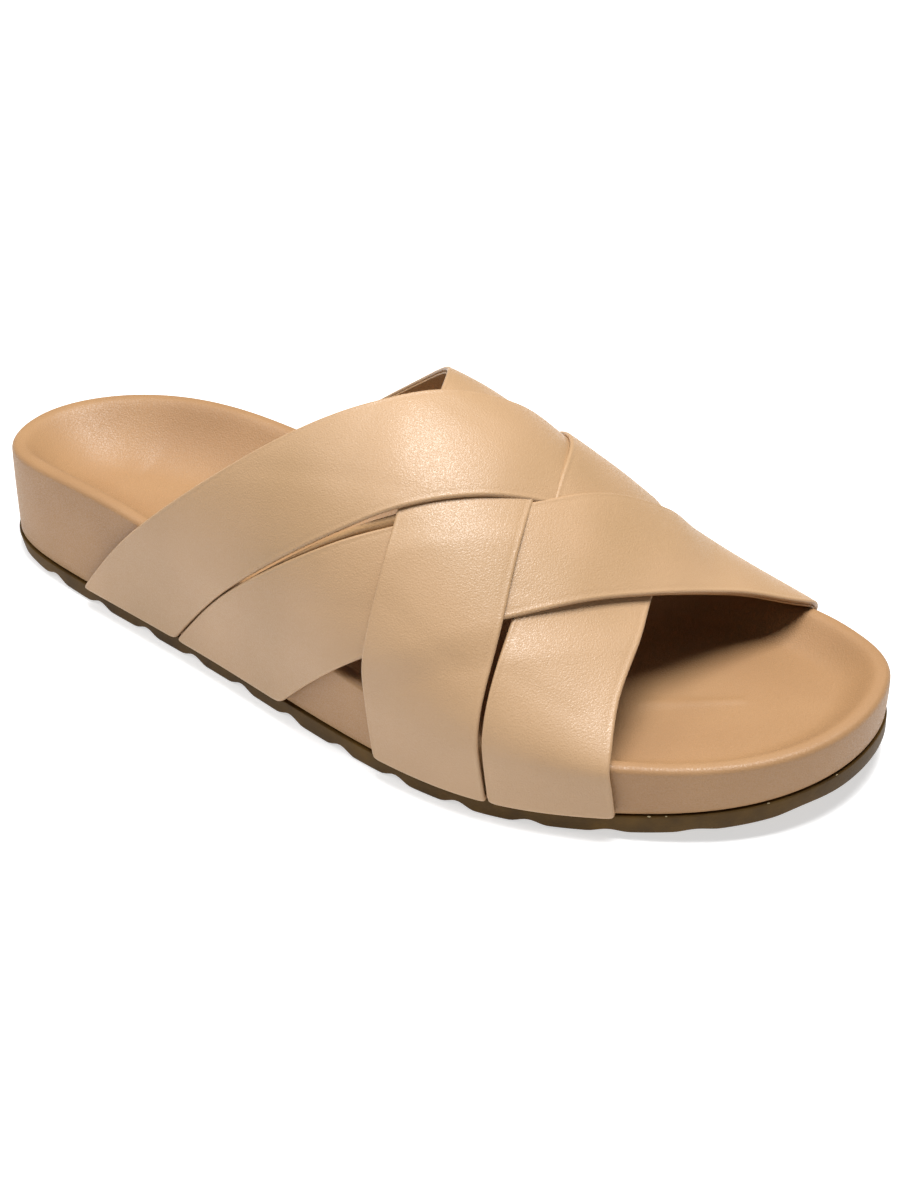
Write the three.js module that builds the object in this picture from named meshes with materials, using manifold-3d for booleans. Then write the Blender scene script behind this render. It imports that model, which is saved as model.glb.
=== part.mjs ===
// A right woven slide sandal: a rippled rubber outsole, a leather-wrapped contoured footbed,
// a leather insole laid in its dish, and an upper of four flat straps woven over the instep.
// Millimetres, +X from heel to toe, -Y the outer (lateral) side, +Z up, the floor at z = 0.
import * as THREE from "three";
import { mergeVertices } from "three/addons/utils/BufferGeometryUtils.js";
import Module from "manifold-3d";

// Driving sizes of the last and the sole
const LENGTH = 262;
const BALL_WIDTH = 101.2;
const INSTEP_HEIGHT = 85.7; // outer face of the upper above the floor, at its highest section
const HEEL_RIM_HEIGHT = 34; // top of the footbed's rim beside the heel
const TOE_SPRING = 6.6; // rise of the sole's underside at the toe tip
const HEEL_RISE = 1; // rise of the underside at the back of the heel
const FLAT_FROM = 0.09; // share of the length where the underside first lies flat
const FLAT_TO = 0.68; // share of the length where the toe spring starts

// Outsole
const OUTSOLE_THICKNESS = 5.2;
const RIB_PITCH = 19; // from one cross rib of the tread to the next
const RIB_FLAT = 0.46; // share of the pitch that stands flat on the floor
const RIB_DEPTH = 1.5;
const TREAD_EDGE = 0.9; // small round at the lower edge of the side

// Footbed and insole
const RIM_ROLL = 3.2; // radius of the rolled rim
const SIDE_TUCK = 0.8; // how far the footbed's side draws in at its lower edge
const DISH_SLOPE_HEEL = 24; // width of the slope from the rim down to the dish, at the heel
const DISH_SLOPE_TOE = 15;
const HEEL_CENTRE = 0.13; // the dish's round ends are centred at these shares of LENGTH
const TOE_CENTRE = 0.82;
const ARCH_RISE = 4; // lift of the dish under the inner arch
const INSOLE_THICKNESS = 1.5;
const INSOLE_EDGE = 3.8; // from the crest of the rim in to the seat of the insole
const INSOLE_GAP = 0.6; // between the insole's edge and the edge of its seat

// Upper
const STRAP_THICKNESS = 2.2;
const STRAP_OVERLAP = 0.3; // how deep crossing straps are bonded into each other
const WEAVE_REACH = 18; // how far beside a crossing strap a strap starts to rise or dip for it
const WALL_DROP = 2; // the straps leave the footbed's side this far below its rim
const INSTEP_RIDGE = 0.56; // where the instep is highest, as a share of the width from the outer side
const INSTEP_ROUNDNESS = 1.93; // exponent of the section: 2 is half an ellipse

const CLEARANCE = 0.3; // between pieces that lie on each other

// Outline of the footbed from above. at is the share of LENGTH from the heel's back, outer and
// inner are the distances from the centre line as shares of BALL_WIDTH. The toe tip lies inward.
const OUTLINE = [
  { at: 0, outer: 0, inner: 0 },
  { at: 0.03, outer: 0.182, inner: 0.178 },
  { at: 0.1, outer: 0.267, inner: 0.29 },
  { at: 0.2, outer: 0.322, inner: 0.339 },
  { at: 0.38, outer: 0.414, inner: 0.346 },
  { at: 0.55, outer: 0.515, inner: 0.389 },
  { at: 0.7, outer: 0.548, inner: 0.452 },
  { at: 0.83, outer: 0.459, inner: 0.477 },
  { at: 0.93, outer: 0.313, inner: 0.395 },
  { at: 0.985, outer: 0.125, inner: 0.262 },
  { at: 1, outer: -0.066, inner: 0.066 },
];

// Long section. rim and dish are shares of HEEL_RIM_HEIGHT, instep is a share of INSTEP_HEIGHT.
const PROFILE = [
  { at: 0, rim: 0.935, dish: 0.66, instep: 0.72 },
  { at: 0.15, rim: 1, dish: 0.59, instep: 0.84 },
  { at: 0.3, rim: 0.926, dish: 0.57, instep: 0.954 },
  { at: 0.42, rim: 0.815, dish: 0.54, instep: 1 },
  { at: 0.54, rim: 0.72, dish: 0.47, instep: 0.949 },
  { at: 0.66, rim: 0.64, dish: 0.42, instep: 0.762 },
  { at: 0.78, rim: 0.612, dish: 0.41, instep: 0.488 },
  { at: 0.9, rim: 0.635, dish: 0.46, instep: 0.3 },
  { at: 1, rim: 0.685, dish: 0.58, instep: 0.24 },
];

// Rear and front edge of each strap, as shares of LENGTH: where it meets the sole on the outer side
// (outer), at the named shares of the way over the instep, and where it meets the sole on the inner
// side (inner). over and under name the straps that it crosses above and below.
const WAY_SHARES = { outer: 0, low: 0.12, side: 0.25, rise: 0.4, top: 0.55, fall: 0.7, far: 0.85, inner: 1 };
const STRAPS = {
  rear: {
    over: "third",
    under: "front",
    rear: { outer: 0.163, low: 0.229, side: 0.332, rise: 0.46, top: 0.558, fall: 0.612, far: 0.63, inner: 0.615 },
    front: { outer: 0.305, low: 0.384, side: 0.499, rise: 0.618, top: 0.705, fall: 0.748, far: 0.752, inner: 0.735 },
  },
  second: {
    over: "front",
    under: "third",
    rear: { outer: 0.308, low: 0.386, side: 0.51, rise: 0.633, top: 0.685, fall: 0.718, far: 0.742, inner: 0.74 },
    front: { outer: 0.463, low: 0.559, side: 0.674, rise: 0.748, top: 0.795, fall: 0.83, far: 0.866, inner: 0.852 },
  },
  third: {
    over: "second",
    under: "rear",
    rear: { outer: 0.596, low: 0.583, side: 0.58, rise: 0.559, top: 0.526, fall: 0.438, far: 0.302, inner: 0.232 },
    front: { outer: 0.725, low: 0.714, side: 0.704, rise: 0.677, top: 0.648, fall: 0.588, far: 0.462, inner: 0.362 },
  },
  front: {
    over: "rear",
    under: "second",
    rear: { outer: 0.727, low: 0.718, side: 0.709, rise: 0.693, top: 0.662, fall: 0.602, far: 0.478, inner: 0.367 },
    front: { outer: 0.844, low: 0.835, side: 0.814, rise: 0.796, top: 0.772, fall: 0.733, far: 0.628, inner: 0.51 },
  },
};

// Fineness of the faceted solids
const FOOTBED_STATIONS = 40;
const DISH_RINGS = 5;
const ROLL_STEPS = 3;
const SECTION_STEPS = 48;
const STRAP_STEPS = 44;
const STRAP_CELLS = 5;
const NUDGE = 0.5; // millimetres to each side over which a direction is measured

const wasm = await Module();
wasm.setup();

const clamp = THREE.MathUtils.clamp;
const lerp = THREE.MathUtils.lerp;

// Natural cubic spline through (xs, ys), as a function of x.
function spline(xs, ys) {
  const last = xs.length - 1;
  const bend = new Array(last + 1).fill(0);
  const carry = new Array(last + 1).fill(0);
  const share = new Array(last + 1).fill(0);
  for (let i = 1; i < last; i++) {
    const before = xs[i] - xs[i - 1];
    const after = xs[i + 1] - xs[i];
    const pull = 6 * ((ys[i + 1] - ys[i]) / after - (ys[i] - ys[i - 1]) / before);
    const weight = 2 * (before + after) - before * share[i - 1];
    share[i] = after / weight;
    carry[i] = (pull - before * carry[i - 1]) / weight;
  }
  for (let i = last - 1; i > 0; i--) bend[i] = carry[i] - share[i] * bend[i + 1];
  return (x) => {
    let i = 0;
    while (i < last - 1 && x > xs[i + 1]) i++;
    const gap = xs[i + 1] - xs[i];
    const b = clamp((x - xs[i]) / gap, 0, 1);
    const a = 1 - b;
    const curved = ((a ** 3 - a) * bend[i] + (b ** 3 - b) * bend[i + 1]) * gap ** 2 / 6;
    return a * ys[i] + b * ys[i + 1] + curved;
  };
}

// The outline is smooth in this angle, which runs from 0 at the heel's back to PI at the toe tip.
const outlineAngle = (at) => Math.acos(1 - 2 * clamp(at, 0, 1));
const outlineAngles = OUTLINE.map((row) => outlineAngle(row.at));
const outerShare = spline(outlineAngles, OUTLINE.map((row) => row.outer));
const innerShare = spline(outlineAngles, OUTLINE.map((row) => row.inner));
const outerY = (x) => -BALL_WIDTH * outerShare(outlineAngle(x / LENGTH));
const innerY = (x) => BALL_WIDTH * innerShare(outlineAngle(x / LENGTH));

const profileAt = PROFILE.map((row) => row.at);
const rimShare = spline(profileAt, PROFILE.map((row) => row.rim));
const dishShare = spline(profileAt, PROFILE.map((row) => row.dish));
const instepShare = spline(profileAt, PROFILE.map((row) => row.instep));
const rimZ = (x) => HEEL_RIM_HEIGHT * rimShare(x / LENGTH);
const instepZ = (x) => INSTEP_HEIGHT * instepShare(x / LENGTH);

// Underside of the sole: flat between the heel and the ball, with a parabola up to each end.
function undersideZ(x) {
  const back = clamp(1 - x / (FLAT_FROM * LENGTH), 0, 1);
  const front = clamp((x / LENGTH - FLAT_TO) / (1 - FLAT_TO), 0, 1);
  return HEEL_RISE * back ** 2 + TOE_SPRING * front ** 2;
}
const jointZ = (x) => undersideZ(x) + OUTSOLE_THICKNESS;

// Height of a groove between two ribs: 0 over the flat, then one smooth hump up and down.
function grooveZ(x) {
  const phase = Math.abs(x / RIB_PITCH - Math.round(x / RIB_PITCH)) * 2;
  const inGroove = clamp((phase - RIB_FLAT) / (1 - RIB_FLAT), 0, 1);
  return RIB_DEPTH * Math.sin((Math.PI / 2) * inGroove) ** 2;
}

// Two triangles for the four corners a, b, c, d, which go once round, cut along the shorter diagonal.
function splitFour(points, [a, b, c, d]) {
  const straight = points[a].distanceTo(points[c]) <= points[b].distanceTo(points[d]);
  return straight ? [[a, b, c], [a, c, d]] : [[b, c, d], [b, d, a]];
}

// A solid from rings of equal length. Each ring turns counter-clockwise from above, and lower and
// outer rings come first. Points that coincide become one, and the faces that collapse are dropped.
function solidFromRings(rings, caps) {
  const size = rings[0].length;
  const points = rings.flat();
  const corner = (ring, i) => ring * size + ((i + size) % size);
  const faces = [];
  for (let r = 0; r + 1 < rings.length; r++)
    for (let i = 0; i < size; i++) {
      const four = [corner(r, i), corner(r, i + 1), corner(r + 1, i + 1), corner(r + 1, i)];
      faces.push(...splitFour(points, four));
    }
  const top = rings.length - 1;
  if (caps)
    for (let i = 0; i < size / 2; i++) {
      faces.push([corner(0, i), corner(0, -i - 1), corner(0, i + 1)]);
      faces.push([corner(0, i), corner(0, -i), corner(0, -i - 1)]);
      faces.push([corner(top, i), corner(top, i + 1), corner(top, -i - 1)]);
      faces.push([corner(top, i), corner(top, -i - 1), corner(top, -i)]);
    }
  return closedGeometry(points, faces);
}

function closedGeometry(points, faces) {
  const loose = new THREE.BufferGeometry();
  loose.setAttribute("position", new THREE.Float32BufferAttribute(points.flatMap((p) => p.toArray()), 3));
  loose.setIndex(faces.flat());
  const merged = mergeVertices(loose, 1e-3);
  const index = merged.index.array;
  const kept = [];
  for (let i = 0; i < index.length; i += 3) {
    const [a, b, c] = index.slice(i, i + 3);
    if (a !== b && b !== c && c !== a) kept.push(a, b, c);
  }
  merged.setIndex(kept);
  return merged;
}

// The outline's points at the given stations along x: outer side from heel to toe, then inner side
// back. Each knows its place, the outward direction, and the point of the spine that it faces.
function outlinePoints(stations) {
  const spineFrom = HEEL_CENTRE * LENGTH;
  const spineTo = TOE_CENTRE * LENGTH;
  const at = (x, side) => new THREE.Vector2(x, side(x));
  const places = [
    ...stations.map((x) => at(x, outerY)),
    ...stations.slice(1, -1).reverse().map((x) => at(x, innerY)),
  ];
  return places.map((place, i) => {
    const before = places[(i + places.length - 1) % places.length];
    const after = places[(i + 1) % places.length];
    const along = after.clone().sub(before).normalize();
    const spineX = clamp(place.x, spineFrom, spineTo);
    const spine = new THREE.Vector2(spineX, (outerY(spineX) + innerY(spineX)) / 2);
    return { place, outward: new THREE.Vector2(along.y, -along.x), spine };
  });
}
// Stations close together at both ends, where the outline turns.
function cosineStations(count) {
  const angles = Array.from({ length: count + 1 }, (_, i) => (Math.PI * i) / count);
  return angles.map((angle) => (LENGTH * (1 - Math.cos(angle))) / 2);
}

// A ring set in from the outline by inset, at the height that heightOf gives for its station.
function insetRing(outline, inset, heightOf) {
  return outline.map(({ place, outward }) => {
    const p = place.clone().addScaledVector(outward, -inset);
    return new THREE.Vector3(p.x, p.y, heightOf(place.x));
  });
}

// A ring of the dish. It lies past the rim's crest by edge, and then by share of what is left to the
// spine. The surface falls from the crest to the dish's floor along half a cosine wave.
function dishRing(outline, edge, share, below) {
  return outline.map(({ place, outward, spine }) => {
    const crest = place.clone().addScaledVector(outward, -RIM_ROLL);
    const reach = crest.distanceTo(spine);
    const walked = edge + (reach - edge) * share;
    const p = crest.clone().lerp(spine, walked / reach);
    const along = p.x / LENGTH;
    const slope = lerp(DISH_SLOPE_HEEL, DISH_SLOPE_TOE, clamp(along, 0, 1));
    const fall = Math.cos((Math.PI / 2) * clamp(walked / slope, 0, 1)) ** 2;
    const floor = HEEL_RIM_HEIGHT * dishShare(along) + archLift(p);
    return new THREE.Vector3(p.x, p.y, lerp(floor, rimZ(place.x), fall) - below);
  });
}

// The arch: a soft swelling on the inner side, halfway along the foot.
function archLift(p) {
  const middle = 0.42;
  const halfLength = 0.17;
  const lengthwise = Math.exp(-(((p.x / LENGTH - middle) / halfLength) ** 2));
  const inward = clamp(p.y / innerY(p.x), 0, 1);
  return ARCH_RISE * lengthwise * inward ** 1.5;
}

function outsoleGeometry() {
  const ribStops = [0, 0.12, 0.24, 0.3, 0.36, 0.43, 0.5, 0.57, 0.64, 0.7, 0.76, 0.88];
  const ribStations = [];
  for (let rib = 0; rib * RIB_PITCH < LENGTH; rib++)
    for (const stop of ribStops) ribStations.push((rib + stop) * RIB_PITCH);
  const ends = cosineStations(FOOTBED_STATIONS);
  const turn = LENGTH * 0.06;
  const stations = [
    ...ends.filter((x) => x < turn || x > LENGTH - turn),
    ...ribStations.filter((x) => x >= turn && x <= LENGTH - turn),
  ].sort((a, b) => a - b);
  const outline = outlinePoints(stations);
  const tread = (x) => undersideZ(x) + grooveZ(x);
  return solidFromRings(
    [
      insetRing(outline, TREAD_EDGE, tread),
      insetRing(outline, 0, (x) => tread(x) + TREAD_EDGE),
      insetRing(outline, 0, (x) => jointZ(x) - CLEARANCE / 2),
    ],
    true,
  );
}

// Heights of the insole's layers under the dish's surface
const INSOLE_SEAT = INSOLE_THICKNESS + CLEARANCE;
const dishShares = Array.from({ length: DISH_RINGS }, (_, i) => (i + 1) / DISH_RINGS);

function footbedGeometry() {
  const outline = outlinePoints(cosineStations(FOOTBED_STATIONS));
  const lowerEdge = (x) => jointZ(x) + CLEARANCE / 2;
  const midSide = (x) => lerp(lowerEdge(x), rimZ(x), 0.4);
  const floorRings = [...dishShares].reverse().map((share) =>
    insetRing(outline, 0, lowerEdge).map((p, i) => {
      const { spine } = outline[i];
      const x = lerp(p.x, spine.x, share);
      return new THREE.Vector3(x, lerp(p.y, spine.y, share), lowerEdge(x));
    }),
  );
  const rollRings = Array.from({ length: ROLL_STEPS + 1 }, (_, i) => {
    const angle = ((Math.PI / 2) * i) / ROLL_STEPS;
    const inset = RIM_ROLL * (1 - Math.cos(angle));
    return insetRing(outline, inset, (x) => rimZ(x) - RIM_ROLL * (1 - Math.sin(angle)));
  });
  return solidFromRings(
    [
      ...floorRings,
      insetRing(outline, SIDE_TUCK, lowerEdge),
      insetRing(outline, 0, midSide),
      ...rollRings,
      dishRing(outline, INSOLE_EDGE / 2, 0, 0),
      dishRing(outline, INSOLE_EDGE, 0, 0),
      dishRing(outline, INSOLE_EDGE, 0, INSOLE_SEAT),
      ...dishShares.map((share) => dishRing(outline, INSOLE_EDGE, share, INSOLE_SEAT)),
    ],
    false,
  );
}

function insoleGeometry() {
  const outline = outlinePoints(cosineStations(FOOTBED_STATIONS));
  const edge = INSOLE_EDGE + INSOLE_GAP;
  const under = dishShares.map((share) => dishRing(outline, INSOLE_EDGE, share, INSOLE_THICKNESS));
  const top = dishShares.map((share) => dishRing(outline, INSOLE_EDGE, share, 0));
  return solidFromRings(
    [
      ...under.reverse(),
      dishRing(outline, edge, 0, INSOLE_THICKNESS),
      dishRing(outline, edge, 0, 0),
      ...top,
    ],
    false,
  );
}

// Where the straps' outer face lies beside the footbed: its outline, a clearance and the strap's
// thickness, measured square to the outline.
function strapSideY(x, side, sign) {
  const slope = (side(x + NUDGE) - side(x - NUDGE)) / (2 * NUDGE);
  return side(x) + sign * (CLEARANCE + STRAP_THICKNESS) * Math.hypot(1, slope);
}

// The upper's outer face in the section at x: from the outer joint with the sole up the footbed's
// side, over the instep along a superellipse, and down to the inner joint.
function sectionCurve(x) {
  const outer = strapSideY(x, outerY, -1);
  const inner = strapSideY(x, innerY, 1);
  const foot = jointZ(x) + CLEARANCE / 2;
  const wallTop = rimZ(x) - WALL_DROP;
  const crown = instepZ(x);
  const dome = Array.from({ length: SECTION_STEPS + 1 }, (_, i) => {
    const angle = (Math.PI * i) / SECTION_STEPS;
    const side = Math.abs(Math.cos(angle)) ** (2 / INSTEP_ROUNDNESS);
    const rise = Math.abs(Math.sin(angle)) ** (2 / INSTEP_ROUNDNESS);
    const falling = INSTEP_RIDGE + (1 - INSTEP_RIDGE) * side;
    const across = angle < Math.PI / 2 ? INSTEP_RIDGE * (1 - side) : falling;
    return new THREE.Vector3(x, lerp(outer, inner, across), lerp(wallTop, crown, rise));
  });
  return [new THREE.Vector3(x, outer, foot), ...dome, new THREE.Vector3(x, inner, foot)];
}

// A point of that face. The way over the instep runs from 0 to 1 in even steps of length.
function sectionPoint(x, way) {
  const curve = sectionCurve(x);
  const steps = curve.slice(1).map((p, i) => p.distanceTo(curve[i]));
  let left = clamp(way, 0, 1) * steps.reduce((sum, step) => sum + step, 0);
  let i = 0;
  while (i < steps.length - 1 && left > steps[i]) left -= steps[i++];
  return curve[i].clone().lerp(curve[i + 1], left / steps[i]);
}

// The direction that faces away from the foot at that point.
function sectionOutward(x, way) {
  const share = NUDGE / LENGTH;
  const from = clamp(way - share, 0, 1);
  const to = clamp(way + share, 0, 1);
  const round = sectionPoint(x, to).sub(sectionPoint(x, from));
  const along = sectionPoint(x + NUDGE, way).sub(sectionPoint(x - NUDGE, way));
  return along.cross(round).normalize();
}

// The two edges of a strap as functions of the way over the instep.
function strapEdges(strap) {
  const columns = Object.keys(WAY_SHARES);
  const ways = columns.map((name) => WAY_SHARES[name]);
  const edge = (row) => spline(ways, columns.map((name) => row[name] * LENGTH));
  return { rear: edge(strap.rear), front: edge(strap.front) };
}

// How much a strap has to move for another one at a point of the instep: fully between the other's
// edges, less and less beside them, and not at all from WEAVE_REACH on.
function makesWay(edges, x, way) {
  const beside = Math.max(edges.rear(way) - x, x - edges.front(way), 0);
  return 1 - THREE.MathUtils.smoothstep(beside, 0, WEAVE_REACH);
}

// One strap as a closed ribbon. Across goes from 0 at its rear edge to 1 at its front edge, and
// every line along the strap ends at the sole on both sides.
function strapGeometry(strap) {
  const edges = strapEdges(strap);
  const below = strapEdges(STRAPS[strap.over]);
  const above = strapEdges(STRAPS[strap.under]);
  const lift = (STRAP_THICKNESS - STRAP_OVERLAP) / 2;
  const point = (way, across, depth) => {
    const x = lerp(edges.rear(way), edges.front(way), across);
    const out = lift * (makesWay(below, x, way) - makesWay(above, x, way)) - depth;
    return sectionPoint(x, way).addScaledVector(sectionOutward(x, way), out);
  };
  const acrosses = Array.from({ length: STRAP_CELLS + 1 }, (_, k) => k / STRAP_CELLS);
  const sections = Array.from({ length: STRAP_STEPS + 1 }, (_, i) => {
    const outer = acrosses.map((across) => point(i / STRAP_STEPS, across, 0));
    const inner = acrosses.map((across) => point(i / STRAP_STEPS, across, STRAP_THICKNESS)).reverse();
    return [...outer, ...inner];
  });
  return ribbonFromSections(sections);
}

// A closed ribbon from equal sections, each once round: outer face from rear to front, inner back.
function ribbonFromSections(sections) {
  const size = sections[0].length;
  const points = sections.flat();
  const corner = (section, i) => section * size + (i % size);
  const faces = [];
  for (let s = 0; s + 1 < sections.length; s++)
    for (let i = 0; i < size; i++) {
      const four = [corner(s, i), corner(s, i + 1), corner(s + 1, i + 1), corner(s + 1, i)];
      faces.push(...splitFour(points, four));
    }
  const end = sections.length - 1;
  for (let i = 0; i < size / 2 - 1; i++) {
    const mirror = size - 1 - i;
    faces.push([corner(0, i), corner(0, mirror), corner(0, i + 1)]);
    faces.push([corner(0, i + 1), corner(0, mirror), corner(0, mirror - 1)]);
    faces.push([corner(end, i), corner(end, i + 1), corner(end, mirror)]);
    faces.push([corner(end, i + 1), corner(end, mirror - 1), corner(end, mirror)]);
  }
  return closedGeometry(points, faces);
}

function manifoldOf(geometry) {
  const vertProperties = new Float32Array(geometry.getAttribute("position").array);
  const triVerts = new Uint32Array(geometry.index.array);
  return new wasm.Manifold(new wasm.Mesh({ numProp: 3, vertProperties, triVerts }));
}

// The upper: the four straps bonded into one wall where they cross.
function upperGeometry() {
  const solids = Object.values(STRAPS).map((strap) => manifoldOf(strapGeometry(strap)));
  const { vertProperties, triVerts } = solids.reduce((whole, strap) => whole.add(strap)).getMesh();
  const geometry = new THREE.BufferGeometry();
  geometry.setAttribute("position", new THREE.BufferAttribute(vertProperties, 3));
  geometry.setIndex(new THREE.BufferAttribute(triVerts, 1));
  return geometry;
}

function piece(name, geometry, color, roughness) {
  geometry.computeVertexNormals();
  const material = new THREE.MeshStandardMaterial({ color, roughness, metalness: 0 });
  const mesh = new THREE.Mesh(geometry, material);
  mesh.name = name;
  return mesh;
}

const sandal = new THREE.Group();
sandal.add(piece("outsole", outsoleGeometry(), 0x6f5c3f, 0.6));
sandal.add(piece("footbed", footbedGeometry(), 0xc6a27c, 0.5));
sandal.add(piece("insole", insoleGeometry(), 0xcda471, 0.5));
sandal.add(piece("upper", upperGeometry(), 0xceab81, 0.45));

// The origin is on the floor, under the middle of the whole sandal's box.
const box = new THREE.Box3().setFromObject(sandal);
const middle = box.getCenter(new THREE.Vector3());
sandal.position.set(-middle.x, -middle.y, 0);

export default sandal;
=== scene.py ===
"""The looks of an open-toe woven leather slide, a right shoe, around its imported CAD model.

Sizes are millimetres from the back edge of the heel: +X to the toe, -Y the outer side, +Z up, and
the floor at z = 0. place() turns them into the frame's metres.
"""

import bmesh
import bpy
import numpy as np
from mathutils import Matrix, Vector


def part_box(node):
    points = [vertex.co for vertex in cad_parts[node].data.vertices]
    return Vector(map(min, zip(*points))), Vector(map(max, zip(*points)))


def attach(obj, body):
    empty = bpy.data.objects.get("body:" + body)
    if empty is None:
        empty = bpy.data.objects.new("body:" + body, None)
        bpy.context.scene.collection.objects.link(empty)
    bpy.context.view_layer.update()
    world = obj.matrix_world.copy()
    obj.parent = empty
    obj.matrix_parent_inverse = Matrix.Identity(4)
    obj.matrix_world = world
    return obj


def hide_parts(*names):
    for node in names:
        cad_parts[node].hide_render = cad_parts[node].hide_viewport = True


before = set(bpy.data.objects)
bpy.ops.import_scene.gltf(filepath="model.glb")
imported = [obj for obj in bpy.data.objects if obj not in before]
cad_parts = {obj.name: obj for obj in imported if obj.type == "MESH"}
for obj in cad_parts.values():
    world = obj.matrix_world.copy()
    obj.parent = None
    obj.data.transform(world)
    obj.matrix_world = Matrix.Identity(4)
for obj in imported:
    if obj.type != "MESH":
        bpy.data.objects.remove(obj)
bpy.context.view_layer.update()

# Outsole. One sheet of moulded gum rubber, 5 mm thick, cemented under the footbed and trimmed
# flush with it. Its underside has cross ribs, which show from the side as a wavy lower edge, and
# it springs up a little under the toes.
footbed_low, footbed_high = (np.array(corner) * 1000 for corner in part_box("footbed"))
length = footbed_high[0] - footbed_low[0]
ball_width = 101.2
clearance = 0.3
outsole_thickness = 5.2
toe_spring = 6.6
heel_rise = 1
tread_heel_rise, tread_rises_from = 3, 0.2
flat_from, flat_to = 0.09, 0.68
rib_pitch, rib_flat, rib_depth = 19, 0.46, 1.5
ribs_fade_from, ribs_fade_to, toe_rib_share = 0.7, 0.86, 0.4
tread_edge = 0.9
top_lip = 0.3
outline_steps = 360
outline_at = [0, 0.03, 0.1, 0.2, 0.38, 0.55, 0.7, 0.83, 0.93, 0.985, 1]
outline_outer = [0, 0.182, 0.267, 0.322, 0.414, 0.515, 0.548, 0.459, 0.313, 0.125, -0.066]
outline_inner = [0, 0.178, 0.29, 0.339, 0.346, 0.389, 0.452, 0.477, 0.395, 0.262, 0.066]


def spline(xs, ys):
    """Natural cubic through (xs, ys): on each stretch a cubic, with second derivatives that agree
    at the knots and vanish at both ends."""
    xs, ys = np.asarray(xs, float), np.asarray(ys, float)
    gap = np.diff(xs)
    matrix = np.diag(np.r_[1, 2 * (gap[:-1] + gap[1:]), 1])
    matrix += np.diag(np.r_[gap[:-1], 0], -1) + np.diag(np.r_[0, gap[1:]], 1)
    bend = np.linalg.solve(matrix, np.r_[0, 6 * np.diff(np.diff(ys) / gap), 0])

    def at(x):
        x = np.clip(x, xs[0], xs[-1])
        i = np.clip(np.searchsorted(xs, x) - 1, 0, len(gap) - 1)
        b = (x - xs[i]) / gap[i]
        a = 1 - b
        curved = ((a**3 - a) * bend[i] + (b**3 - b) * bend[i + 1]) * gap[i] ** 2 / 6
        return a * ys[i] + b * ys[i + 1] + curved

    return at


def turn(x):
    """Angle in which the outline is smooth: 0 at the back of the heel, pi at the toe tip."""
    return np.arccos(1 - 2 * np.clip(x / length, 0, 1))


outer_share = spline(turn(np.array(outline_at) * length), outline_outer)
inner_share = spline(turn(np.array(outline_at) * length), outline_inner)


def outer_y(x):
    return -ball_width * outer_share(turn(x))


def inner_y(x):
    return ball_width * inner_share(turn(x))


widest_y = outer_y(np.linspace(0, length, 2001)).min()
shift = np.array([footbed_low[0], footbed_low[1] - widest_y, 0])
weld_distance, shortest_edge = 2e-6, 1e-6


def place(points):
    """Millimetres from the heel's back edge to metres in the frame."""
    return (np.asarray(points, float) + shift) / 1000


def outline_ring(steps):
    """Points once round the sole, counter-clockwise from above, at equal turns: the outer side from
    heel to toe and the inner side back. With them the outward direction at each."""
    x = length * (1 - np.cos(np.pi * np.arange(steps + 1) / steps)) / 2
    x = np.r_[x, x[-2:0:-1]]
    y = np.where(np.arange(len(x)) <= steps, outer_y(x), inner_y(x))
    ring = np.stack([x, y], -1)
    along = np.roll(ring, -1, 0) - np.roll(ring, 1, 0)
    along /= np.linalg.norm(along, axis=1, keepdims=True)
    return ring, np.stack([along[:, 1], -along[:, 0]], -1)


def add_mesh(name, points, faces):
    """A smooth-shaded object at the origin, its coinciding points made one. The two distances are
    metres."""
    mesh = bpy.data.meshes.new(name)
    mesh.from_pydata(place(points).tolist(), [], faces.tolist())
    mesh.shade_smooth()
    piece = bpy.data.objects.new(name, mesh)
    bpy.context.scene.collection.objects.link(piece)
    edit = bmesh.new()
    edit.from_mesh(mesh)
    bmesh.ops.remove_doubles(edit, verts=edit.verts, dist=weld_distance)
    bmesh.ops.dissolve_degenerate(edit, edges=edit.edges, dist=shortest_edge)
    edit.to_mesh(mesh)
    edit.free()
    return piece


def ring_faces(rings, size):
    """Quads between neighbouring rings of size points, each ring closed on itself."""
    i = np.arange(size)
    quad = np.stack([i, (i + 1) % size, (i + 1) % size + size, i + size], -1)
    return (np.arange(rings - 1)[:, None, None] * size + quad).reshape(-1, 4)


def add_ring_surface(name, rings):
    """A surface through rings of points, in order. The first and the last ring lie flat on the
    sole's middle line, where the surface's two sides meet."""
    return add_mesh(name, np.concatenate(rings), ring_faces(len(rings), len(rings[0])))


def underside_z(x):
    """Flat from heel to ball, with a parabola up to each end."""
    back = np.clip(1 - x / (flat_from * length), 0, 1)
    front = np.clip((x / length - flat_to) / (1 - flat_to), 0, 1)
    return heel_rise * back**2 + toe_spring * front**2


def tread_z(x):
    """The underside, raised between the ribs by the square of a sine. The ribs grow shallower under
    the toes, and the back of the heel is trimmed off along a parabola."""
    phase = np.abs(x / rib_pitch - np.round(x / rib_pitch)) * 2
    groove = np.clip((phase - rib_flat) / (1 - rib_flat), 0, 1)
    trimmed = tread_heel_rise * np.clip(1 - x / (tread_rises_from * length), 0, 1) ** 2
    depth = rib_depth * np.interp(x / length, [ribs_fade_from, ribs_fade_to], [1, toe_rib_share])
    return underside_z(x) + trimmed + depth * np.sin(np.pi / 2 * groove) ** 2


def joint_z(x):
    return underside_z(x) + outsole_thickness


def inset_ring(ring, outward, inset, height):
    """The outline set in by inset, each point at its own height."""
    return np.column_stack([ring - outward * inset, np.broadcast_to(height, len(ring))])


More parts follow.
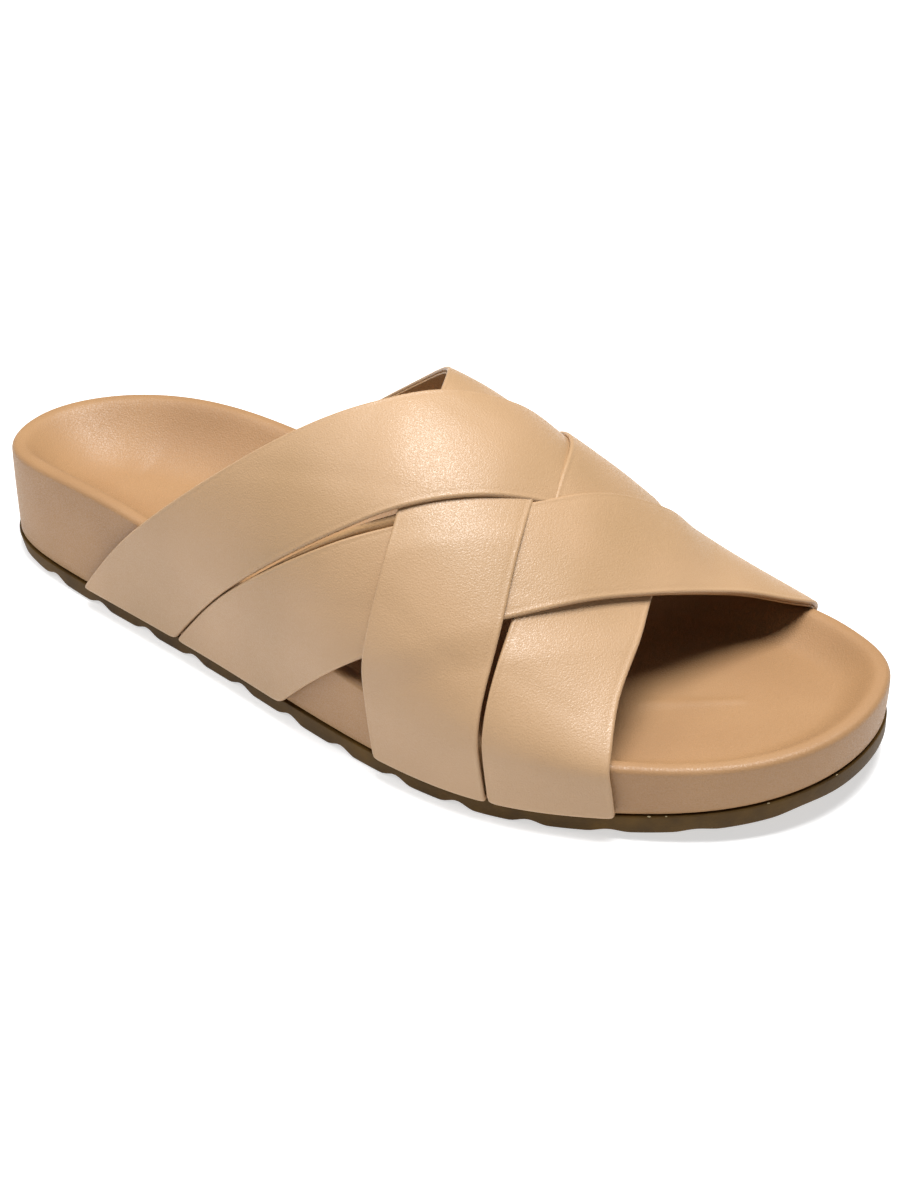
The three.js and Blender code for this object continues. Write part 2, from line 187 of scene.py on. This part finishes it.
def towards_middle(edge_ring, share, height_of):
    """A ring drawn in across the sole, straight to the middle between its two sides."""
    x = edge_ring[:, 0]
    middle = (outer_y(x) + inner_y(x)) / 2
    y = middle + (edge_ring[:, 1] - middle) * share
    return np.column_stack([x, y, height_of(x)])


ring, outward = outline_ring(outline_steps)
ring_x = ring[:, 0]
top_of_outsole = joint_z(ring_x) - clearance / 2
quarter = np.linspace(0, np.pi / 2, 5)
tread_ring = inset_ring(ring, outward, tread_edge, tread_z(ring_x))
outsole_rings = [towards_middle(tread_ring, share, tread_z) for share in (0, 0.3, 0.6, 0.85)]
outsole_rings += [
    inset_ring(ring, outward, tread_edge * (1 - np.sin(a)), tread_z(ring_x) + tread_edge * (1 - np.cos(a)))
    for a in quarter
]
outsole_rings += [
    inset_ring(ring, outward, top_lip * (1 - np.cos(a)), top_of_outsole - top_lip * (1 - np.sin(a)))
    for a in quarter
]
top_ring = outsole_rings[-1]
outsole_rings += [
    towards_middle(top_ring, share, lambda x: joint_z(x) - clearance / 2) for share in (0.85, 0.5, 0)
]
outsole = add_ring_surface("rubber_outsole", outsole_rings)


def linear(hex_colour):
    """sRGB hex to the linear colour that Blender's sockets take."""
    srgb = np.array([int(hex_colour[i : i + 2], 16) for i in (1, 3, 5)]) / 255
    rgb = np.where(srgb <= 0.04045, srgb / 12.92, ((srgb + 0.055) / 1.055) ** 2.4)
    return (*rgb, 1.0)


def add_node(tree, kind, **inputs):
    """A node of a kind with its settings and links. Each input is a value, or the output that
    feeds it, and is named as its socket is, with _ for a space."""
    made = tree.nodes.new(kind)
    for key, value in inputs.items():
        socket = made.inputs[key.replace("_", " ")]
        if isinstance(value, bpy.types.NodeSocket):
            tree.links.new(value, socket)
        else:
            socket.default_value = value
    return made


def new_material(name):
    """An empty node tree, with its shader, its output and the object coordinates in metres."""
    material = bpy.data.materials.new(name)
    material.use_nodes = True
    tree = material.node_tree
    tree.nodes.clear()
    shader = add_node(tree, "ShaderNodeBsdfPrincipled")
    add_node(tree, "ShaderNodeOutputMaterial", Surface=shader.outputs["BSDF"])
    place_on_object = add_node(tree, "ShaderNodeTexCoord").outputs["Object"]
    return material, tree, shader, place_on_object


def colour_ramp(tree, factor, stops):
    """A colour ramp of (position, hex) stops."""
    made = add_node(tree, "ShaderNodeValToRGB", Fac=factor)
    elements = made.color_ramp.elements
    while len(elements) < len(stops):
        elements.new(0.5)
    for element, (position, hex_colour) in zip(elements, stops):
        element.position = position
        element.color = linear(hex_colour)
    return made.outputs["Color"]


def per_metre(millimetres):
    """Scale of a texture whose cells are that many millimetres wide."""
    return 1000 / millimetres


# Moulded gum rubber: satin, a little cloudy, with the faint mottle of the mould.
gum_rubber, tree, shader, spot = new_material("gum_rubber_moulded")
mottle = add_node(tree, "ShaderNodeTexNoise", Vector=spot, Scale=per_metre(9), Detail=3.0).outputs["Fac"]
stipple = add_node(tree, "ShaderNodeTexNoise", Vector=spot, Scale=per_metre(0.7), Detail=2.0).outputs["Fac"]
rubber_colour = colour_ramp(tree, mottle, [(0.3, "#402c0a"), (0.7, "#563d10")])
tree.links.new(rubber_colour, shader.inputs["Base Color"])
rubber_bump = add_node(tree, "ShaderNodeBump", Strength=0.25, Distance=0.0002, Height=stipple)
tree.links.new(rubber_bump.outputs["Normal"], shader.inputs["Normal"])
shader.inputs["Roughness"].default_value = 0.6
shader.inputs["Specular IOR Level"].default_value = 0.2
outsole.data.materials.append(gum_rubber)
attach(outsole, "root")
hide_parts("outsole")

# Cement. Four tiny pale beads of sole cement that were squeezed out of the joint by the toe and
# never wiped off.
bead_places = [(0.868, 0.26), (0.882, 0.17), (0.957, 0.22), (0.993, 0.2)]
bead_long, bead_deep, bead_high = 1.8, 0.7, 0.6
bead_above_joint = 0.1
bead_turns = np.linspace(0, 2 * np.pi, 12, endpoint=False)
bead_lifts = np.linspace(-np.pi / 2, np.pi / 2, 7)


def side_slope(side, x):
    """How far an edge of the sole runs sideways over one millimetre at x."""
    return side(x + 0.5) - side(x - 0.5)


def bead(at, radius):
    """A flattened ball on the joint: longer along the joint than it is deep or high."""
    x = at * length
    lift, turned = (angle[..., None] for angle in np.meshgrid(bead_lifts, bead_turns, indexing="ij"))
    slope = side_slope(outer_y, x)
    along = np.array([1, slope, 0]) / np.hypot(1, slope)
    out = np.array([along[1], -along[0], 0])
    centre = np.array([x, outer_y(x), joint_z(x) + bead_above_joint])
    level = np.cos(lift) * (np.cos(turned) * along * bead_long + np.sin(turned) * out * bead_deep)
    return (centre + radius * (level + np.sin(lift) * np.array([0, 0, bead_high]))).reshape(-1, 3)


bead_points = np.concatenate([bead(at, radius) for at, radius in bead_places])
one_bead = ring_faces(len(bead_lifts), len(bead_turns))
bead_size = len(bead_lifts) * len(bead_turns)
bead_faces = np.concatenate([one_bead + i * bead_size for i in range(len(bead_places))])
cement = add_mesh("cement_beads", bead_points, bead_faces)

# Dried contact cement: pale, clear and a little shiny.
contact_cement, tree, shader, spot = new_material("contact_cement_dried")
cloud = add_node(tree, "ShaderNodeTexNoise", Vector=spot, Scale=per_metre(0.5)).outputs["Fac"]
tree.links.new(colour_ramp(tree, cloud, [(0.3, "#a8946c"), (0.7, "#bca982")]), shader.inputs["Base Color"])
shader.inputs["Roughness"].default_value = 0.45
cement.data.materials.append(contact_cement)
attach(cement, "root")

# Footbed. A contoured core of foam and cork under one piece of soft leather, which is lasted up the
# side, over a rolled rim and down into the dish, with no seam. The dish is deep at the heel, swells
# under the inner arch and is shallow at the toes. The rim rises at the heel and again at the toe.
heel_rim_height = 34
rim_roll = 1.7
rim_flat, rim_softness = 1.3, 1.8
side_tuck, bottom_bevel = 0.5, 0.5
outer_rim_rise, outer_rise_at, outer_rise_half_length = 2.4, 0.28, 0.2
inner_rim_dip, inner_dip_at, inner_dip_half_length = 2.2, 0.76, 0.09
rim_blend = 0.25
dish_slope_heel, dish_slope_toe = 24, 8
dish_edges = [0.7, 1.4, 2.1, 2.9, 3.8]
dish_shares = np.linspace(0, 1, 40)[1:] ** 1.25
heel_centre, toe_centre = 0.13, 0.82
arch_rise, arch_at, arch_half_length, arch_inward = 4, 0.42, 0.17, 1.5
toe_ridge_from, toe_ridge_to = (206, -9), (227, 4.5)
toe_ridge_height, toe_ridge_half_breadth = 0.35, 1.6
profile_at = [0, 0.15, 0.3, 0.42, 0.54, 0.66, 0.78, 0.9, 1]
rim_share = spline(profile_at, [0.935, 1, 0.926, 0.815, 0.72, 0.64, 0.612, 0.635, 0.685])
dish_share = spline(profile_at, [0.66, 0.59, 0.57, 0.54, 0.47, 0.42, 0.41, 0.46, 0.58])


def rim_z(x):
    return heel_rim_height * rim_share(x / length)


def rim_edge_z(ring):
    """The rim along the outline, with two bell curves: on the outer side it stands a little higher
    between the heel and the middle of the foot, and on the inner side a little lower at the ball.
    Both fade out towards the middle line."""
    at = ring[:, 0] / length
    rise = outer_rim_rise * np.exp(-(((at - outer_rise_at) / outer_rise_half_length) ** 2))
    dip = inner_rim_dip * np.exp(-(((at - inner_dip_at) / inner_dip_half_length) ** 2))
    sideways = ring[:, 1] / (rim_blend * ball_width)
    return rim_z(ring[:, 0]) + rise * np.clip(-sideways, 0, 1) - dip * np.clip(sideways, 0, 1)


def away_from_line(x, y, start, end):
    """Distance of each point from the straight line between start and end."""
    run = np.subtract(end, start)
    share = np.clip(((x - start[0]) * run[0] + (y - start[1]) * run[1]) / (run @ run), 0, 1)
    return np.hypot(x - start[0] - share * run[0], y - start[1] - share * run[1])


def dish_floor_z(x, y):
    """The dish's floor: the long section, and a soft swelling halfway along the inner side."""
    swell = np.exp(-(((x / length - arch_at) / arch_half_length) ** 2))
    inward = np.clip(y / inner_y(x), 0, 1) ** arch_inward
    return heel_rim_height * dish_share(x / length) + arch_rise * swell * inward


spine_x = np.clip(ring_x, heel_centre * length, toe_centre * length)
spine = np.stack([spine_x, (outer_y(spine_x) + inner_y(spine_x)) / 2], -1)
crest = ring - outward * rim_roll
rim_edge = rim_edge_z(ring)
reach = np.linalg.norm(crest - spine, axis=1)


def dish_ring(edge, share):
    """A ring of the dish: edge millimetres in from the rim's crest, then a share of what is left
    to the spine. The crest is flat for rim_flat, and the surface falls from there to the floor
    along a parabola, steepest at the rim. A soft ridge runs over the floor under the toes."""
    walked = edge + (reach - edge) * share
    spot_xy = crest + (spine - crest) * (walked / reach)[:, None]
    slope = dish_slope_heel + (dish_slope_toe - dish_slope_heel) * np.clip(spot_xy[:, 0] / length, 0, 1)
    softened = np.hypot(np.clip(walked - rim_flat, 0, None), rim_softness) - rim_softness
    fall = (1 - np.clip(softened / slope, 0, 1)) ** 2
    floor = dish_floor_z(spot_xy[:, 0], spot_xy[:, 1])
    from_ridge = away_from_line(spot_xy[:, 0], spot_xy[:, 1], toe_ridge_from, toe_ridge_to)
    floor = floor + toe_ridge_height * np.exp(-((from_ridge / toe_ridge_half_breadth) ** 2))
    return np.column_stack([spot_xy, floor + (rim_edge - floor) * fall])


lower_edge = joint_z(ring_x) + clearance / 2
side_foot = lower_edge + bottom_bevel
side_height = rim_edge - rim_roll - side_foot
bottom_ring = inset_ring(ring, outward, side_tuck + bottom_bevel, lower_edge)
footbed_rings = [
    towards_middle(bottom_ring, share, lambda x: joint_z(x) + clearance / 2) for share in (0, 0.5, 0.9)
]
footbed_rings += [bottom_ring, inset_ring(ring, outward, side_tuck, side_foot)]
footbed_rings += [
    inset_ring(ring, outward, side_tuck * (1 - up) ** 2, side_foot + side_height * up)
    for up in np.linspace(0.12, 1, 8)
]
footbed_rings += [
    inset_ring(ring, outward, rim_roll * (1 - np.cos(a)), rim_edge - rim_roll * (1 - np.sin(a)))
    for a in np.linspace(0, np.pi / 2, 9)[1:]
]
footbed_rings += [dish_ring(edge, 0) for edge in dish_edges]
footbed_rings += [dish_ring(dish_edges[-1], share) for share in dish_shares]
footbed = add_ring_surface("leather_footbed_wrap", footbed_rings)


def leather(name, deep, mid, pale, roughness):
    """Smooth-finished calf: an even tan with slow colour drift. A fine pebbled grain, with pebbles
    0.5 mm wide, and pores 0.35 mm wide that vary its roughness break up the soft highlight. Both
    are drawn a little coarser than the real grain, so that they show."""
    material, tree, shader, spot = new_material(name)
    drift = add_node(tree, "ShaderNodeTexNoise", Vector=spot, Scale=per_metre(45), Detail=2.0).outputs["Fac"]
    base = colour_ramp(tree, drift, [(0.3, deep), (0.5, mid), (0.72, pale)])
    tree.links.new(base, shader.inputs["Base Color"])
    pebble = add_node(tree, "ShaderNodeTexVoronoi", Vector=spot, Scale=per_metre(0.5)).outputs["Distance"]
    pore_noise = add_node(tree, "ShaderNodeTexNoise", Vector=spot, Scale=per_metre(0.35), Detail=2.0)
    pores = pore_noise.outputs["Fac"]
    waves = add_node(tree, "ShaderNodeTexNoise", Vector=spot, Scale=per_metre(16), Detail=1.0).outputs["Fac"]
    soft = add_node(tree, "ShaderNodeBump", Strength=0.1, Distance=0.0008, Height=waves)
    grain = add_node(
        tree, "ShaderNodeBump", Strength=0.35, Distance=0.00015, Height=pebble, Normal=soft.outputs["Normal"]
    )
    fine = add_node(
        tree, "ShaderNodeBump", Strength=0.45, Distance=0.00012, Height=pores, Normal=grain.outputs["Normal"]
    )
    tree.links.new(fine.outputs["Normal"], shader.inputs["Normal"])
    rough = add_node(
        tree,
        "ShaderNodeMapRange",
        Value=pores,
        From_Min=0.38,
        From_Max=0.62,
        To_Min=roughness - 0.2,
        To_Max=roughness + 0.12,
    )
    tree.links.new(rough.outputs["Result"], shader.inputs["Roughness"])
    shader.inputs["IOR"].default_value = 1.5
    shader.inputs["Coat Weight"].default_value = 0.05
    shader.inputs["Coat Roughness"].default_value = 0.35
    return material


# Lining-weight calf on the footbed: the same tan, softer and more matt than the straps.
footbed_leather = leather("calf_leather_footbed", "#916d47", "#98734d", "#9f7a53", 0.64)
footbed.data.materials.append(footbed_leather)
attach(footbed, "root")
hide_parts("footbed", "insole")

# Straps. Four flat straps woven over the instep and lasted to the footbed's lower edge. Each is an
# outer strip of smooth calf with rounded edges and a thin lining glued inside it, whose edge shows
# as a second line. Each strap passes over one that crosses it and under the other.
strap_thickness = 2.2
outer_thickness, lining_thickness = 1.4, 0.7
layer_gap = 0.1
lining_setback = 0.45
shown_lining_gap = 0.3
shown_lining_rise, shown_lining_steepness = 1.45, 0.65
ramp_share, shortest_ramp = 0.4, 0.2
fold_at, fold_breadth, fold_depth = 1.4, 0.45, 0.07
weave_lift = 1.12
weave_reach = 16
corner_radius = 1.6
end_round = 1.5
wall_drop = 2
instep_height = 85.7
instep_ridge = 0.56
instep_roundness = 1.93
instep_from, instep_to, instep_step = 20, length - 10, 0.75
way_points, section_points, strip_sections, edge_points = 500, 600, 240, 800
smoothing_points = 27
instep_share = spline(profile_at, [0.72, 0.84, 0.954, 1, 0.949, 0.762, 0.488, 0.3, 0.24])
creases = {
    "rear": [(62, -9, 74, 12, 0.13, 3.4), (96, -13, 101, 4, 0.1, 2.6), (28, -2, 38, 14, 0.08, 2.8)],
    "second": [(30, -8, 46, 10, 0.09, 3.2), (58, -3, 64, 12, 0.08, 2.4)],
    "third": [(42, -12, 36, 10, 0.12, 3.2), (60, -13, 66, 0, 0.09, 2.4), (22, 0, 19, 13, 0.08, 2.4)],
    "front": [(34, -12, 30, 6, 0.1, 2.8), (96, -4, 102, 12, 0.11, 3)],
}
way_shares = [0, 0.12, 0.25, 0.4, 0.55, 0.7, 0.85, 1]
straps = {
    "rear": {
        "over": "third",
        "under": "front",
        "rear": [0.163, 0.229, 0.332, 0.46, 0.558, 0.612, 0.63, 0.615],
        "front": [0.305, 0.384, 0.499, 0.618, 0.705, 0.748, 0.752, 0.735],
    },
    "second": {
        "over": "front",
        "under": "third",
        "rear": [0.308, 0.386, 0.51, 0.633, 0.685, 0.718, 0.742, 0.74],
        "front": [0.463, 0.559, 0.674, 0.748, 0.795, 0.83, 0.866, 0.852],
    },
    "third": {
        "over": "second",
        "under": "rear",
        "rear": [0.596, 0.583, 0.58, 0.559, 0.526, 0.438, 0.302, 0.232],
        "front": [0.725, 0.714, 0.704, 0.677, 0.648, 0.588, 0.462, 0.362],
    },
    "front": {
        "over": "rear",
        "under": "second",
        "rear": [0.727, 0.718, 0.709, 0.693, 0.662, 0.602, 0.478, 0.367],
        "front": [0.844, 0.835, 0.814, 0.796, 0.772, 0.733, 0.628, 0.51],
    },
}


def strap_side_y(x, side, sign):
    """Outer face of a strap beside the footbed, offset square to the outline."""
    return side(x) + sign * (clearance + strap_thickness) * np.hypot(1, side_slope(side, x))


def instep_sections(x, steps):
    """Sections of the straps' outer face at each x: from the outer joint up the footbed's side, over
    a superellipse and down to the inner joint. Returns y and z, one row a section."""
    angle = np.linspace(0, np.pi, steps)[None]
    x = x[:, None]
    side = np.abs(np.cos(angle)) ** (2 / instep_roundness)
    rise = np.abs(np.sin(angle)) ** (2 / instep_roundness)
    falling = instep_ridge + (1 - instep_ridge) * side
    across = np.where(angle < np.pi / 2, instep_ridge * (1 - side), falling)
    outer, inner = strap_side_y(x, outer_y, -1), strap_side_y(x, inner_y, 1)
    foot = joint_z(x) + clearance / 2
    wall_top = rim_z(x) - wall_drop
    y = outer + (inner - outer) * across
    z = wall_top + (instep_height * instep_share(x / length) - wall_top) * rise
    return np.hstack([outer, y, inner]), np.hstack([foot, z, foot])


grid_x = np.arange(instep_from, instep_to, instep_step)
grid_way = np.linspace(0, 1, way_points)
section_y, section_z = instep_sections(grid_x, section_points)
steps_along = np.hypot(np.diff(section_y, axis=1), np.diff(section_z, axis=1))
walked = np.hstack([np.zeros((len(grid_x), 1)), np.cumsum(steps_along, axis=1)])
section_length = walked[:, -1]
even = grid_way[None] * section_length[:, None]
grid = np.stack(
    [
        np.repeat(grid_x[:, None], len(grid_way), 1),
        np.array([np.interp(*row) for row in zip(even, walked, section_y)]),
        np.array([np.interp(*row) for row in zip(even, walked, section_z)]),
    ],
    -1,
)

# A moving average along the way, weighted by a raised cosine, takes the edge off the corner where
# the straps leave the footbed's side.
soften = np.hanning(smoothing_points)[1:-1] / np.hanning(smoothing_points).sum()
margin = len(soften) // 2
padded = np.pad(grid, [(0, 0), (margin, margin), (0, 0)], "reflect", reflect_type="odd")
rows = padded.transpose(0, 2, 1).reshape(-1, padded.shape[1])
grid = np.stack([np.convolve(row, soften, "valid") for row in rows])
grid = grid.reshape(len(grid_x), 3, len(grid_way)).transpose(0, 2, 1)
grid_out = np.cross(np.gradient(grid, axis=0), np.gradient(grid, axis=1))
grid_out /= np.linalg.norm(grid_out, axis=-1, keepdims=True)


def on_instep(x, way):
    """Point and outward direction at x and a way over the instep, straight between grid points."""
    row = (x - grid_x[0]) / (grid_x[1] - grid_x[0])
    column = way * (len(grid_way) - 1)
    i = np.clip(row.astype(int), 0, len(grid_x) - 2)
    j = np.clip(column.astype(int), 0, len(grid_way) - 2)
    u, v = (row - i)[..., None], (column - j)[..., None]
    found = []
    for values in (grid, grid_out):
        near = values[i, j] * (1 - v) + values[i, j + 1] * v
        far = values[i + 1, j] * (1 - v) + values[i + 1, j + 1] * v
        found.append(near * (1 - u) + far * u)
    return found


def strap_edges(name):
    """The strap's two edges as functions of the way over the instep."""
    rear, front = (spline(way_shares, np.array(straps[name][edge]) * length) for edge in ("rear", "front"))
    return rear, front


def makes_way(name, x, way):
    """1 between the other strap's edges, falling smoothly to 0 beside them."""
    rear, front = strap_edges(name)
    beside = np.clip(np.maximum(rear(way) - x, x - front(way)) / weave_reach, 0, 1)
    return 1 - beside**2 * (3 - 2 * beside)


def stadium(thickness, flat_points=33, arc_points=5):
    """Section of a strip once round, from the middle of its rear edge over the outer face: for each
    point its share of the flat width, and its offset across and depth from the round edges. The
    edges are half circles, and the points of the flats crowd towards them as a sine does."""
    quarter_turn = np.pi / 2
    rear = np.pi - np.linspace(0, quarter_turn, arc_points, endpoint=False)
    front = np.linspace(quarter_turn, -quarter_turn, 2 * arc_points + 1)[1:-1]
    outer, inner = np.full(flat_points, quarter_turn), np.full(flat_points, -quarter_turn)
    angle = np.r_[rear, outer, front, inner, -rear[:0:-1]]
    flat = np.sin(np.linspace(-quarter_turn, quarter_turn, flat_points))
    share = np.r_[-np.ones(len(rear)), flat, np.ones(len(front)), -flat, -np.ones(len(rear) - 1)]
    return share, thickness / 2 * np.cos(angle), thickness / 2 * (1 - np.sin(angle))


def crease_depth(name, along, side):
    """Depth of the strap's soft creases: each is a straight line with the profile of a bell curve."""
    depth = np.zeros(along.shape)
    for from_along, from_side, to_along, to_side, deep, half_breadth in creases[name]:
        away = away_from_line(along, side, (from_along, from_side), (to_along, to_side))
        depth += deep * np.exp(-((away / half_breadth) ** 2))
    return depth


def strip(name, top_depth, thickness, setback, beside=None):
    """One layer of a strap: its section carried along the way over the instep. The lower corners
    are rounded, and the ends curl in to the footbed. A layer with a strap named beside it reaches
    out towards that strap's front edge, and rises on the way there."""
    share, across, depth = stadium(thickness)
    rear, front = strap_edges(name)
    fine = np.linspace(0, 1, edge_points)
    middle = (rear(fine) + front(fine)) / 2
    half_x = (front(fine) - rear(fine)) / 2
    along = np.interp(middle, grid_x, section_length)
    slant = np.hypot(1, np.gradient(middle, fine) / along)
    half_width = half_x / slant
    v = np.linspace(0, 1, strip_sections)[:, None]
    total = np.interp(np.interp(v, fine, middle), grid_x, section_length)
    half = np.interp(v, fine, half_width)
    side = share[None] * (half - setback - thickness / 2) + across[None]
    gap = rear(v) - strap_edges(beside)[1](v) if beside else np.zeros(v.shape)
    reach_out = np.clip(gap / np.interp(v, fine, slant) - shown_lining_gap, 0, None)
    side = side - (reach_out + setback * (reach_out > 0)) * np.clip(-side / half, 0, 1)
    up_the_ramp = np.clip((-side - half) / np.maximum(ramp_share * reach_out, shortest_ramp), 0, 1)
    rise = up_the_ramp * np.minimum(shown_lining_rise, shown_lining_steepness * reach_out)
    into_corner = np.clip(np.abs(side) - (half - corner_radius), 0, corner_radius)
    trimmed = corner_radius - np.sqrt(corner_radius**2 - into_corner**2)
    way = (trimmed + v * (total - 2 * trimmed)) / total
    x = np.interp(way, fine, middle) + side / half * np.interp(way, fine, half_x)
    weave = makes_way(straps[name]["over"], x, way) - makes_way(straps[name]["under"], x, way)
    from_end = np.minimum(v, 1 - v) * total
    curl = end_round - np.sqrt(end_round**2 - np.clip(end_round - from_end, 0, end_round) ** 2)
    spot, out = on_instep(x, way)
    lift = weave_lift * weave - top_depth - depth[None] - curl * (thickness / strap_thickness) + rise
    lift -= crease_depth(name, way * total, side)
    fold = np.exp(-(((half - setback - np.abs(side) - fold_at) / fold_breadth) ** 2))
    lift -= fold_depth * fold * np.clip(1 - 2 * depth[None] / thickness, 0, 1)
    return spot + out * lift[..., None]


def add_strip(piece_name, points):
    """A strip from its sections: quads round it, and at both ends quads between its outer and inner
    face, with a triangle at each edge."""
    sections, size = points.shape[:2]
    i = np.arange(1, size // 2 - 1)
    cap = np.stack([i, i + 1, size - i - 1, size - i], -1)
    caps = np.concatenate([cap[:, ::-1], cap + (sections - 1) * size])
    piece = add_mesh(piece_name, points.reshape(-1, 3), np.concatenate([ring_faces(sections, size), caps]))
    edit = bmesh.new()
    edit.from_mesh(piece.data)
    bmesh.ops.holes_fill(edit, edges=edit.edges, sides=4)
    bmesh.ops.recalc_face_normals(edit, faces=edit.faces)
    edit.to_mesh(piece.data)
    edit.free()
    piece.data.shade_smooth()
    return piece


# Smooth calf of the straps: pale warm tan with a soft shine. Its lining is the same hide, more matt.
strap_leather = leather("calf_leather_strap", "#a3835f", "#aa8966", "#b08f6c", 0.54)
lining_leather = leather("calf_leather_lining", "#9f7a50", "#a68157", "#ad885e", 0.6)
for name in straps:
    outer_layer = add_strip(f"{name}_strap", strip(name, 0, outer_thickness, 0))
    beside = "rear" if name == "second" else None
    lining_strip = strip(name, outer_thickness + layer_gap, lining_thickness, lining_setback, beside)
    lining = add_strip(f"{name}_strap_lining", lining_strip)
    outer_layer.data.materials.append(strap_leather)
    lining.data.materials.append(lining_leather)
    for layer in (outer_layer, lining):
        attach(layer, "root")
        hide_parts("upper")

# Studio. A white acrylic sweep that is faintly lit from below, a large soft light overhead, a weaker
# one from the left of the camera, and a dim white room.
floor_half = 3.0
floor_mesh = bpy.data.meshes.new("studio_floor")
floor_corners = [(-floor_half, -floor_half, 0), (floor_half, -floor_half, 0), (floor_half, floor_half, 0)]
floor_mesh.from_pydata(floor_corners + [(-floor_half, floor_half, 0)], [], [(0, 1, 2, 3)])
floor = bpy.data.objects.new("studio_floor", floor_mesh)
bpy.context.scene.collection.objects.link(floor)
white_acrylic, tree, shader, spot = new_material("white_acrylic_sweep")
cloud = add_node(tree, "ShaderNodeTexNoise", Vector=spot, Scale=per_metre(3)).outputs["Fac"]
tree.links.new(colour_ramp(tree, cloud, [(0.3, "#cccccc"), (0.7, "#d0d0d0")]), shader.inputs["Base Color"])
shader.inputs["Roughness"].default_value = 0.9
shader.inputs["Emission Color"].default_value = linear("#ffffff")
shader.inputs["Emission Strength"].default_value = 0.6
floor_mesh.materials.append(white_acrylic)


def aim(thing, azimuth, elevation, distance, target):
    """Puts a lamp or camera at that distance from the target and turns it to look there. Azimuth is
    counted from -Y towards +X."""
    turned, lifted = np.radians(azimuth), np.radians(elevation)
    away = np.array([np.sin(turned) * np.cos(lifted), -np.cos(turned) * np.cos(lifted), np.sin(lifted)])
    thing.location = np.array(target) + away * distance
    thing.rotation_euler = (np.pi / 2 - lifted, 0, turned)


def soft_light(name, azimuth, elevation, distance, size, power):
    """A square softbox that looks at the sandal from a direction given as the camera's is. Its
    distance and size are metres, its power watts."""
    light = bpy.data.lights.new(name, "AREA")
    light.shape = "SQUARE"
    light.size = size
    light.energy = power
    lamp = bpy.data.objects.new(name, light)
    aim(lamp, azimuth, elevation, distance, (0, 0, 0.03))
    bpy.context.scene.collection.objects.link(lamp)


soft_light("overhead_softbox", 140, 84, 1.2, 0.66, 27)
soft_light("left_softbox", -45, 52, 1.5, 0.7, 6.5)
room = bpy.data.worlds.new("white_room")
room.use_nodes = True
room.node_tree.nodes["Background"].inputs["Color"].default_value = linear("#ffffff")
room.node_tree.nodes["Background"].inputs["Strength"].default_value = 0.12
bpy.context.scene.world = room
bpy.context.scene.view_settings.view_transform = "Standard"

# Camera. A long lens at the photograph's angle, which was found by fitting the sole's outline, the
# rim and the joint line.
camera_data = bpy.data.cameras.new("photo_camera")
camera_data.sensor_fit = "VERTICAL"
camera_data.sensor_height = 36
camera_data.lens = 82.245
camera = bpy.data.objects.new("photo_camera", camera_data)
aim(camera, 33, 32.289, 0.7349, (0.00865, 0.00814, 0.015))
bpy.context.scene.collection.objects.link(camera)
bpy.context.scene.camera = camera
